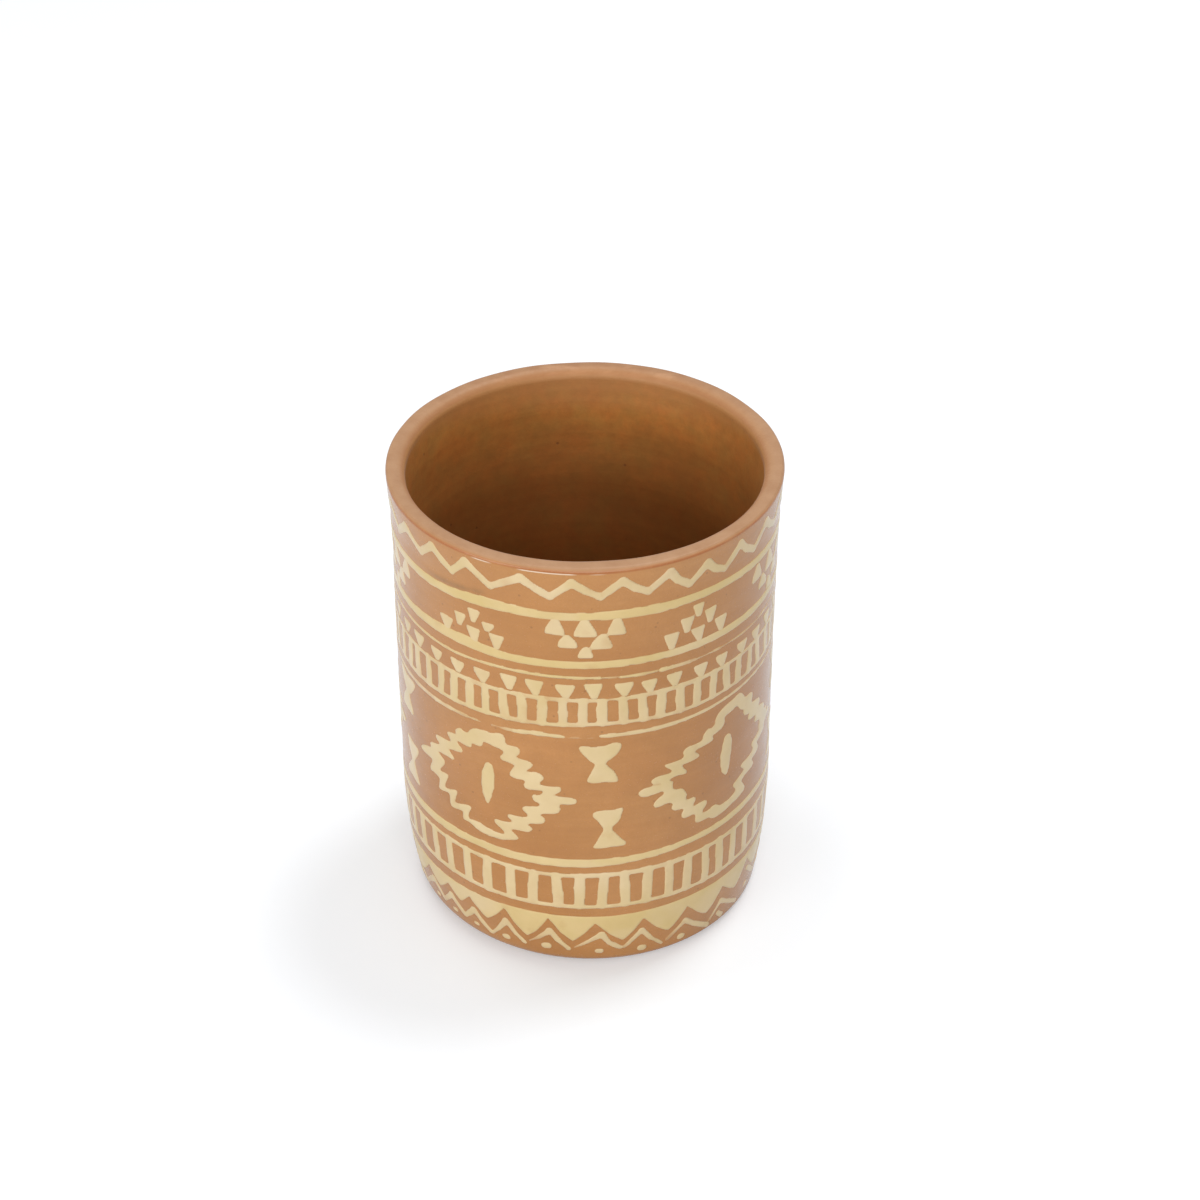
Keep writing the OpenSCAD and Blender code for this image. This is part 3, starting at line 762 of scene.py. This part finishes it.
diamond_right = [outline(
    410, 411, 413, 404, 422, 397, 438, 391, 455, 388, 480, 386, 505, 384, 520, 383, 536, 389,
    546, 397, 550, 403, 565, 406, 585, 407, 599, 412, 600, 422, 592, 432, 600, 437, 625, 440,
    650, 446, 658, 456, 650, 467, 670, 470, 695, 477, 705, 486, 700, 496, 725, 499, 735, 506,
    730, 515, 760, 517, 780, 524, 765, 530, 730, 532, 705, 538, 710, 546, 690, 550, 665, 552,
    642, 553, 650, 559, 658, 568, 653, 576, 630, 579, 605, 579, 613, 585, 623, 594, 618, 600,
    595, 601, 570, 603, 545, 606, 553, 613, 564, 623, 570, 632, 563, 639, 540, 642, 510, 644,
    480, 647, 450, 650, 420, 650, 405, 647, 395, 641, 375, 640, 352, 639, 342, 636, 340, 628,
    342, 619, 337, 614, 320, 615, 302, 614, 293, 609, 292, 601, 299, 593, 298, 588, 285, 588,
    270, 587, 259, 582, 257, 575, 263, 569, 255, 564, 240, 563, 226, 565, 213, 567, 202, 565,
    198, 558, 202, 551, 213, 544, 225, 539, 234, 536, 230, 531, 215, 532, 190, 534, 170, 534,
    156, 530, 152, 522, 160, 515, 175, 511, 200, 511, 224, 511, 225, 510, 210, 508, 196, 506,
    190, 500, 196, 494, 215, 490, 240, 490, 260, 489, 252, 483, 240, 477, 232, 470, 235, 466,
    250, 466, 270, 466, 294, 465, 296, 459, 292, 452, 300, 445, 315, 441, 340, 442, 360, 442,
    363, 438, 363, 431, 372, 424, 382, 419, 390, 421, 396, 425, 403, 421, 411, 418,
), outline(
    450, 414, 470, 414, 490, 412, 508, 410, 515, 416, 525, 425, 537, 430, 545, 433, 544, 442,
    550, 449, 563, 453, 580, 456, 573, 463, 573, 469, 585, 474, 600, 476, 620, 477, 625, 483,
    617, 490, 620, 496, 640, 500, 655, 505, 660, 510, 655, 518, 653, 526, 660, 531, 640, 533,
    610, 536, 600, 540, 603, 547, 613, 555, 610, 559, 580, 563, 550, 563, 537, 566, 540, 572,
    553, 581, 560, 585, 540, 589, 515, 594, 500, 599, 503, 605, 512, 613, 518, 619, 505, 622,
    480, 626, 450, 626, 435, 622, 423, 616, 410, 616, 398, 619, 380, 620, 368, 620, 369, 616,
    378, 610, 387, 604, 387, 595, 380, 590, 360, 590, 340, 592, 330, 592, 336, 586, 342, 580,
    343, 574, 338, 570, 320, 570, 310, 569, 309, 564, 312, 556, 306, 549, 300, 542, 293, 537,
    280, 535, 265, 533, 262, 526, 262, 518, 268, 514, 263, 512, 253, 510, 250, 505, 265, 504,
    285, 504, 305, 506, 313, 503, 308, 496, 300, 489, 292, 482, 310, 482, 330, 480, 350, 479,
    356, 475, 349, 468, 338, 462, 335, 459, 350, 458, 375, 457, 400, 456, 407, 451, 402, 446,
    399, 441, 415, 441, 435, 439, 448, 434, 452, 425, 450, 418,
)]


def moved(shape, middle, to, flip, wander=0.45):
    """A copy of a shape round another middle, mirrored or not, in the same hand."""
    return [(to + (a - middle) * (-1 if flip else 1) + draw(wander), d + draw(wander) / 2)
            for a, d in shape]


band = Band(37.8, 67)
diamonds = [diamond_left, diamond_right]
for to, flip in ((120, False), (189, True), (260, False)):
    diamonds.append([moved(loop, -30.5, to, flip, 0.15) for loop in diamond_left])
for loops in diamonds:
    band.area(loops)
slip("painted_diamonds", "slip_diamonds", band, 10)

# Spindles
band = Band(44, 60)
spindle_left = ([(-29.6, 48.3), (-29.8, 50), (-30.15, 53), (-30.3, 55), (-30.3, 56.9)],
                (2.1, 2.8, 2.95, 2.3, 0.9))
spindle_right = ([(46.7, 47.2), (46.6, 48.4), (46.1, 50.6), (46.05, 52.6), (46.2, 54.2),
                  (46.5, 55.3)], (2.3, 2.9, 3.3, 2.9, 2.3, 1.2))
band.strokes(spindle_left, spindle_right)
for to in (120, 189, 260):
    band.stroke(moved(spindle_left[0], -30.1, to, False), spindle_left[1])
slip("painted_spindles", "slip_spindles", band, 11)

# Hourglasses in columns between the diamonds
hourglass_high = outline(
    -22, 404, -16, 397, 0, 397, 30, 399, 50, 399, 65, 395, 77, 392, 98, 393, 105, 400, 98, 412,
    89, 421, 73, 431, 57, 440, 68, 450, 80, 458, 90, 470, 95, 486, 80, 487, 55, 485, 25, 487,
    4, 486, 0, 480, 7, 470, 16, 458, 27, 441, 12, 434, 0, 425, -13, 415,
)
hourglass_low = outline(
    18, 564, 20, 556, 40, 553, 80, 552, 108, 549, 110, 555, 104, 565, 102, 575, 92, 586, 78, 595,
    77, 601, 87, 610, 96, 619, 108, 628, 120, 635, 117, 643, 108, 645, 70, 644, 45, 647, 20, 646,
    16, 643, 26, 633, 36, 620, 49, 603, 49, 597, 40, 587, 30, 576, 19, 569,
)
band = Band(37.5, 67)
for shape, beside in ((hourglass_high, -69), (hourglass_low, -64.5)):
    band.area([shape])
    for to, flip in ((beside, True), (82, True), (154, False), (224.5, True)):
        band.area([moved(shape, 5, to, flip, 0.2)])
slip("painted_hourglasses", "slip_hourglasses", band, 12)

# Lower ladder
band = Band(69.4, 81.4)
lower_rails = [
    [(-60, 70.8, 71.8), (-45, 70.6, 71.7), (-30, 70.7, 71.8), (-20, 70.9, 71.9), (-12, 71, 72),
     (0, 70.8, 72), (10, 70.7, 72), (20, 70.6, 71.9), (35, 70.7, 71.9), (60, 70.8, 71.9),
     (100, 70.9, 71.9), (150, 70.6, 71.7), (200, 71, 72), (250, 70.8, 71.8), (280, 70.9, 71.9)],
    [(-60, 78.4, 79.7), (-45, 78.5, 79.8), (-30, 78.8, 79.9), (-20, 78.9, 80), (0, 79, 80.1),
     (20, 79.1, 80.2), (45, 79.4, 80.5), (60, 79.3, 80.5), (100, 78.9, 80), (150, 78.6, 79.8),
     (200, 78.9, 80.1), (250, 78.5, 79.8), (280, 78.5, 79.8)],
]
for rail in lower_rails:
    band.ring(rail, 0.92)
lower_rungs = [
    -60.8, -53.1, -46.2, -38.7, -31.3, -23.4, -16.2, -8.9, -2.1, 4.8, 11.5, 18.6, 25.5, 32,
    38.8, 44.9, 51.3, 58,
]
lower_rungs += [a for a, _ in onward(58, 299.2, 33, 0.6)]
rungs(band, lower_rungs, lower_rails, 2.05, 2.35)
slip("painted_lower_ladder", "slip_lower_ladder", band, 13)

# Base band: slip from a line round the wall down to a toothed edge
notches = [
    (-60.5, 84.3), (-49.3, 84.4), (-39.7, 84.3), (-26.3, 83.3), (-12, 83.5), (2.6, 84.2),
    (17.7, 84.4), (33, 85.2), (48, 85.3),
]
tips = [(-54.5, 87.4), (-43.8, 87.1), (-33.2, 88.2), (-19, 89.5), (-4.5, 89.3), (11.3, 89.7),
        (26.6, 90), (41.5, 90.1)]
notches += onward(48, 299.5, 16, 0.8, 84.4, 0.35)
later = sorted(n for n in notches if n[0] > 47) + [(299.5, 84.3)]
tips += [((p[0] + q[0]) / 2 + draw(0.5), 89.3 + draw(0.4)) for p, q in zip(later, later[1:])]
teeth = sorted([(a % 360, d, 1) for a, d in tips] + [(a % 360, d, 0) for a, d in notches])
edge_at = np.zeros(GRID_N)
for (a0, d0, is_tip), (a1, d1, _) in zip(teeth, teeth[1:] + [(teeth[0][0] + 360, *teeth[0][1:])]):
    share = (GRID_A - a0) / (a1 - a0)
    share = np.where(share < 0, (GRID_A + 360 - a0) / (a1 - a0), share)
    here = (share >= 0) & (share <= 1)
    share = held(share)
    rise = 1 - share if is_tip else share
    rise = 0.45 * rise + 0.55 * np.sin(rise * math.pi / 2)
    notch, tip = (d1, d0) if is_tip else (d0, d1)
    edge_at = np.where(here, notch + (tip - notch) * rise, edge_at)
slope = np.gradient(edge_at, STEP_A * PER_DEG)
lean = 1 / np.sqrt(1 + np.minimum(np.abs(slope), 2.5) ** 2)
band = Band(80.6, 92)
turned = np.radians(GRID_A * 3), np.radians(GRID_A * 8 + 40)
top_line = 82.2 + 0.1 * np.sin(turned[0]) + 0.08 * np.sin(turned[1])
lower = (band.depth[:, None] - edge_at[None, :]) * lean[None, :]
upper = top_line[None, :] - band.depth[:, None]
band.lay(slice(None), -smooth_min(-lower, -upper, 0.3))
slip("painted_base_teeth", "slip_base_teeth", band, 14, 0.15)

# Base zigzag: each peak's falling stroke, and the thinner rising one that leads to it
base_falls = [
    ([(-58.3, 87.3), (-56, 88.8), (-53.6, 90.6)], (1.7, 1.6, 1.3)),
    ([(-48.5, 87.2), (-46.3, 88.9), (-43.2, 90.8)], (1.6, 1.6, 1.4)),
    ([(-38.3, 87.6), (-35.6, 90), (-32.4, 92)], (1.6, 1.4, 1.3)),
    ([(-26.1, 86.7), (-23, 89.9), (-20.2, 91.8)], (1.5, 1.25, 1)),
    ([(-11.7, 86.8), (-9.2, 89.3), (-5.8, 91.7)], (1.6, 1.4, 1.1)),
    ([(4.6, 87.4), (7, 90.1), (10.6, 91.8)], (1.6, 1.35, 1.2)),
    ([(17.4, 87.8), (20.5, 90.6), (24.6, 93.2)], (1.4, 1.1, 0.9)),
    ([(32.8, 89), (36.4, 91.2), (43, 94.2)], (1.5, 1.4, 1.4)),
    ([(48, 89.3), (52, 91.2), (58, 93.9)], (1.4, 1.3, 1.2)),
]
base_rises = [
    ([(-64, 90.3), (-61.5, 89), (-58.5, 87.4)], (0.9, 1.3, 1.5), (0.8, 1)),
    ([(-53.2, 90.8), (-51, 89.2), (-48.6, 87.4)], (1.2, 1.4, 1.5), (0.9, 1)),
    ([(-42.7, 90.9), (-40.6, 89.3), (-38.5, 87.7)], (1.2, 1.4, 1.5), (0.9, 1)),
    ([(-31.8, 92), (-29.2, 90), (-26.3, 87.2)], (0.8, 1.1, 1.6), (0.9, 1)),
    ([(-18.6, 90.9), (-15.2, 89.2), (-11.9, 87.2)], (0.5, 0.8, 1.6), (0.45, 1)),
    ([(-4, 91.2), (0.3, 89.5), (4.2, 87.7)], (0.5, 0.9, 1.6), (0.5, 1)),
    ([(11.8, 91.8), (14.5, 90), (17.3, 88)], (0.9, 1, 1.3), (0.7, 1)),
    ([(26.3, 92.6), (29.3, 91), (32.6, 89.2)], (1, 1, 1.3), (0.5, 0.95)),
    ([(43.6, 93), (45.8, 91.2), (47.8, 89.6)], (0.8, 0.9, 1.2), (0.5, 0.9)),
]
band = Band(84.8, 95.2)
for marks, widths in base_falls:
    band.stroke(marks, widths, (1, 0.95))
band.strokes(*base_rises)
earlier = (58, 93.9)
for peak, high in onward(48, 301.7, 16, 0.8, 87.5, 0.3) + [(301.7, 87.3)]:
    if peak > 64:
        band.stroke([earlier, (peak, high)], (0.8, 1.4), (0.6, 1))
    if peak < 301:
        earlier = (peak + 7.5 + draw(0.6), 91.9 + draw(0.35))
        band.stroke([(peak, high), earlier], (1.5, 1.2), (1, 0.95))
slip("painted_base_zigzag", "slip_base_zigzag", band, 15)

# Dots
band = Band(88.6, 96.4)
dots = [(-57.5, 91.3, 1.2), (-47.9, 91.5, 1.2), (-38.2, 91.6, 1.1), (-26.8, 91.7, 1.6),
        (-13, 91.5, 1.75), (3.8, 92.3, 1.45), (17.8, 93, 1.7), (31.8, 93.3, 1.6)]
dots += [(a, d, 1.65 + rng.uniform(-0.2, 0.15))
         for a, d in onward(48.6, 302, 16, 0.9, 92.2, 0.35)]
for a, d, width in dots:
    band.stroke([(a - 0.4, d), (a + 0.4, d + draw(0.1))], width)
band.stroke([(47.6, 92.6), (49.6, 94)], (1.3, 1.5))
slip("painted_base_dots", "slip_base_dots", band, 16)


def linear(r, g, b):
    """A colour as the photograph shows it, 0 to 255, as Blender's linear colour."""
    channel = [c / 255 for c in (r, g, b)]
    return [c / 12.92 if c <= 0.04045 else ((c + 0.055) / 1.055) ** 2.4 for c in channel] + [1]


class Tree:
    """Short forms for building the nodes of a material, or of a world."""

    def __init__(self, name, owners=bpy.data.materials, kind="Material"):
        self.owner = owners.new(name)
        self.owner.use_nodes = True
        self.tree = self.owner.node_tree
        self.tree.nodes.clear()
        self.output = self.add("Output" + kind)

    def add(self, kind, inputs=(), **settings):
        node = self.tree.nodes.new("ShaderNode" + kind)
        for key, value in settings.items():
            setattr(node, key, value)
        for key, value in dict(inputs).items():
            self.set(node.inputs[key], value)
        return node

    def set(self, socket, value):
        if isinstance(value, bpy.types.NodeSocket):
            self.tree.links.new(value, socket)
        else:
            socket.default_value = value

    def surface(self, shader):
        self.set(self.output.inputs["Surface"], shader.outputs[0])

    def value(self, name):
        return self.add("Attribute", attribute_name=name).outputs["Fac"]

    def stretched(self, scale=(1, 1, 1)):
        """The object's own coordinates, in metres, scaled along each axis."""
        where = self.add("TexCoord").outputs["Object"]
        return self.add("Mapping", {"Vector": where, "Scale": scale}).outputs["Vector"]

    def noise(self, scale, detail=3, rough=0.55, stretch=(1, 1, 1)):
        return self.add("TexNoise", {
            "Vector": self.stretched(stretch), "Scale": scale, "Detail": detail,
            "Roughness": rough}).outputs["Fac"]

    def spread(self, value, low, high, to_low=0, to_high=1):
        return self.add("MapRange", {
            "Value": value, "From Min": low, "From Max": high,
            "To Min": to_low, "To Max": to_high}).outputs["Result"]

    def math(self, operation, a, b=0):
        return self.add("Math", {0: a, 1: b}, operation=operation).outputs[0]

    def mix(self, share, a, b):
        """One colour over another; a colour is another node's or r, g, b, 0 to 255."""
        a, b = (linear(*c) if isinstance(c, tuple) else c for c in (a, b))
        return self.add("Mix", {"Factor": share, "A": a, "B": b},
                        data_type="RGBA").outputs["Result"]

    def tint(self, colour, share, much, over):
        """A colour with some of another one laid over it, where its share says."""
        return self.mix(self.math("MULTIPLY", share, much), colour, over)

    def specks(self, scale, size):
        """Small round spots, 1 in the middle of a spot and 0 outside it."""
        cells = self.add("TexVoronoi", {"Vector": self.stretched(), "Scale": scale})
        return self.spread(cells.outputs["Distance"], size, size * 0.5)

    def bump(self, height, distance, strength):
        return self.add("Bump", {
            "Height": height, "Distance": distance, "Strength": strength}).outputs["Normal"]

    def finish(self, colour, rough, normal, **more):
        """The material, with a shader of the same refraction for clay and slip."""
        self.surface(self.add("BsdfPrincipled", {
            "Base Color": colour, "Roughness": rough, "Normal": normal,
            "Specular IOR Level": 0.5, "IOR": 1.5, **more}))
        return self.owner


def clay_colour(t):
    """The burnished outside: mottled firing, streaks of the burnishing stone, grain."""
    mottle = t.spread(t.noise(34, 4), 0.32, 0.68)
    colour = t.mix(mottle, (181, 124, 65), (196, 140, 81))
    streaks = t.spread(t.noise(1, 4, 0.6, (16, 16, 520)), 0.38, 0.66)
    colour = t.tint(colour, streaks, 0.35, (174, 116, 60))
    warm = t.spread(t.noise(75, 2), 0.45, 0.72)
    colour = t.tint(colour, warm, 0.35, (198, 134, 74))
    blotch = t.spread(t.noise(240, 4, 0.6), 0.38, 0.68)
    colour = t.tint(colour, blotch, 0.28, (168, 116, 60))
    higher = t.spread(t.value("depth"), 0, 32, 0.32, 0)
    colour = t.mix(higher, colour, (208, 151, 92))
    grain = t.spread(t.noise(1900, 2), 0.3, 0.7)
    return t.tint(colour, grain, 0.18, (162, 104, 54)), streaks, grain


def lip_and_inside(t, outside):
    """The whole clay body's colour, given that of its outside, and the inside's height."""
    lip_grain = t.spread(t.noise(300, 4, 0.6), 0.35, 0.7)
    lip_front = t.mix(lip_grain, (173, 131, 94), (163, 119, 81))
    lip_back = t.mix(lip_grain, (162, 118, 79), (154, 106, 67))
    smear = t.spread(t.noise(1, 4, 0.6, (90, 200, 300)), 0.54, 0.66, 0, 0.6)
    lip_back = t.mix(smear, lip_back, (190, 142, 104))
    colour = t.mix(t.value("lip"), outside, t.mix(t.value("back"), lip_front, lip_back))
    rings = t.spread(t.noise(1, 5, 0.65, (14, 14, 520)), 0.34, 0.68)
    mottle = t.spread(t.noise(170, 5, 0.65), 0.36, 0.64)
    stain = t.spread(t.noise(60, 3), 0.35, 0.65)
    # Painted light: the back of the inside, which faces the front light, is painted lighter than
    # its sides
    side = t.mix(mottle, (182, 114, 51), (171, 119, 57))
    back = t.mix(mottle, (207, 130, 58), (191, 134, 62))
    inner = t.mix(t.value("back"), side, back)
    inner = t.tint(inner, rings, 0.25, (166, 102, 45))
    inner = t.tint(inner, stain, 0.35, (150, 92, 40))
    # Painted shade: the inside darkens deeper down the hollow
    hollow_shade = t.spread(t.value("depth"), 10, 30, 0, 0.42)
    inner = t.mix(hollow_shade, inner, (98, 54, 22))
    clouds = t.spread(t.noise(430, 4, 0.7), 0.38, 0.66, 0, 0.3)
    inner = t.mix(clouds, inner, (136, 82, 34))
    pits = t.specks(150, 0.06)
    inner = t.tint(inner, pits, 0.4, (74, 40, 20))
    # Painted light: the inside is painted lighter just under the lip, reaching further down at the
    # back where the front light falls in
    inner = t.mix(t.value("into"), (178, 126, 76), inner)
    height = t.math("SUBTRACT", t.math("MULTIPLY", rings, 0.4), pits)
    return t.mix(t.value("inner"), colour, inner), height


# The weak veil of dust and polish that lightens the outside at grazing angles
SHEEN = {"Sheen Weight": 0.18, "Sheen Roughness": 0.3, "Sheen Tint": (0.87, 0.925, 0.97, 1)}
# Depths of the painted shade line along the lip's rounded outer edge, and of the painted highlight
# on it
SHADE_LINE_AT = 0.75
HIGHLIGHT_AT = 1.15

t = Tree("burnished_clay")
outside, streaks, grain = clay_colour(t)
outside = t.tint(outside, t.specks(330, 0.1), 0.4, (120, 78, 46))
# The dark line along the top of the upper line, of patchy strength
dark_streak_strength = t.spread(t.noise(260, 3), 0.3, 0.6, 0.2, 0.55)
outside = t.tint(outside, t.value("dark_streak"), dark_streak_strength, (124, 96, 62))
# Painted shade: a darker orange line along the rounded outer edge under the lip
from_shade_line = t.math("ABSOLUTE", t.math("SUBTRACT", t.value("depth"), SHADE_LINE_AT))
patchy = t.spread(t.noise(120, 2), 0.3, 0.6, 0.6, 1)
outside = t.tint(outside, t.spread(from_shade_line, 0.5, 0.2), patchy, (174, 106, 54))
colour, _ = lip_and_inside(t, outside)
# Painted highlight: bright dashes along the lip's outer edge
from_highlight = t.math("ABSOLUTE", t.math("SUBTRACT", t.value("depth"), HIGHLIGHT_AT))
colour = t.tint(colour, t.value("shine"), t.spread(from_highlight, 0.15, 0.06), (240, 221, 196))
rough = t.spread(grain, 0, 1, 0.18, 0.28)
for part, much in (("lip", 0.3), ("inner", 0.32)):
    rough = t.math("ADD", rough, t.math("MULTIPLY", t.value(part), much))
height = t.math("ADD", t.math("MULTIPLY", streaks, 0.5), t.math("MULTIPLY", grain, 0.5))
clay.data.materials.append(t.finish(colour, rough, t.bump(height, 0.00006, 0.6), **SHEEN))

t = Tree("inner_clay")
outside, _, grain = clay_colour(t)
colour, height = lip_and_inside(t, outside)
rough = t.spread(grain, 0, 1, 0.5, 0.6)
clay.data.materials.append(t.finish(colour, rough, t.bump(height, 0.00006, 0.6)))

t = Tree("painted_slip")
patch = t.spread(t.noise(150, 4, 0.6), 0.3, 0.7)
thin = t.mix(patch, (224, 196, 136), (215, 187, 123))
heavy = t.mix(patch, (227, 202, 155), (217, 190, 140))
cream = t.mix(t.value("thick"), thin, heavy)
yellow = t.spread(t.noise(60, 3), 0.45, 0.7)
cream = t.tint(cream, yellow, 0.4, (209, 184, 116))
blush = t.spread(t.noise(52, 3, 0.5, (1, 1, 1.3)), 0.52, 0.7)
cream = t.tint(cream, blush, 0.35, (236, 213, 182))
fine = t.spread(t.noise(1500, 2), 0.35, 0.75)
cream = t.tint(cream, fine, 0.03, (196, 166, 112))
full = t.math("MULTIPLY", t.value("cover"), t.spread(t.noise(420, 3), 0.25, 0.6, 0.9, 1.08))
share = t.math("MULTIPLY", t.spread(full, 0.25, 0.9),
               t.spread(t.value("deep"), 0, 0.18, 0.6, 1))
colour = t.mix(share, clay_colour(t)[0], cream)
rough = t.spread(patch, 0, 1, 0.275, 0.295)
slip_material = t.finish(colour, rough, t.bump(t.noise(150, 1), 0.00003, 0.3), **SHEEN)
for obj in scene.objects:
    if obj.name.startswith("painted_"):
        obj.data.materials.append(slip_material)

# Floor: 6 m wide, a hair below the foot, white to the camera, with the cup's shadow; a
# little bluer where the cup mirrors it, and grey for the light it throws on the cup
FLOOR = 3.0
FLOOR_Z = -0.00004
floor_mesh = bpy.data.meshes.new("floor")
floor_mesh.from_pydata([(x * FLOOR, y * FLOOR, FLOOR_Z) for x, y in (
    (-1, -1), (1, -1), (1, 1), (-1, 1))], [], [(0, 1, 2, 3)])
floor = new_object("floor", floor_mesh)
floor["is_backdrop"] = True
t = Tree("white_floor")
path = t.add("LightPath").outputs
shader = t.add("BsdfDiffuse", {"Color": (0.5, 0.5, 0.5, 1)})
for ray, tint, strength in (("Is Glossy Ray", (0.77, 0.825, 0.885, 1), 0.07),
                            ("Is Camera Ray", (0.74, 0.768, 0.803, 1), 0.24)):
    white = t.add("BsdfDiffuse", {"Color": tint})
    glow = t.add("Emission", {"Color": (1, 1, 1, 1), "Strength": strength})
    lit = t.add("AddShader", {0: white.outputs[0], 1: glow.outputs[0]})
    shader = t.add("MixShader", {
        0: path[ray], 1: shader.outputs[0], 2: lit.outputs[0]})
t.surface(shader)
floor_mesh.materials.append(t.owner)

# An even pale sky that lights the cup, and a brighter one for the camera and for gloss
t = Tree("studio", bpy.data.worlds, "World")
scene.world = t.owner
path = t.add("LightPath").outputs
seen = t.math("MAXIMUM", path["Is Camera Ray"], path["Is Glossy Ray"])
sky = t.add("Background", {"Color": (1, 1, 1, 1), "Strength": 0.47})
bright = t.add("Background", {"Color": (0.8, 0.8, 0.8, 1), "Strength": 1})
t.surface(t.add("MixShader", {0: seen, 1: sky.outputs[0], 2: bright.outputs[0]}))

# Soft round lamps: place in metres, width and power
for name, place, size, watts in (("back_lamp", (0.33, 0.26, 1.23), 0.36, 6),
                                 ("top_lamp", (-0.26, 0.14, 1.25), 0.36, 2.9),
                                 ("front_lamp", (0.1, -1.53, 0.75), 1.3, 10.8),
                                 ("left_lamp", (-1.25, -1.05, 0.28), 1.1, 10.5)):
    data = bpy.data.lights.new(name, "AREA")
    data.shape = "DISK"
    data.size = size
    data.energy = watts
    lamp = new_object(name, data)
    lamp.location = place
    aim = Vector((0, 0, CUP_H / 2 * MM)) - lamp.location
    lamp.rotation_euler = aim.to_track_quat("-Z", "Y").to_euler()

scene.view_settings.view_transform = "Standard"

low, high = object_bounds()
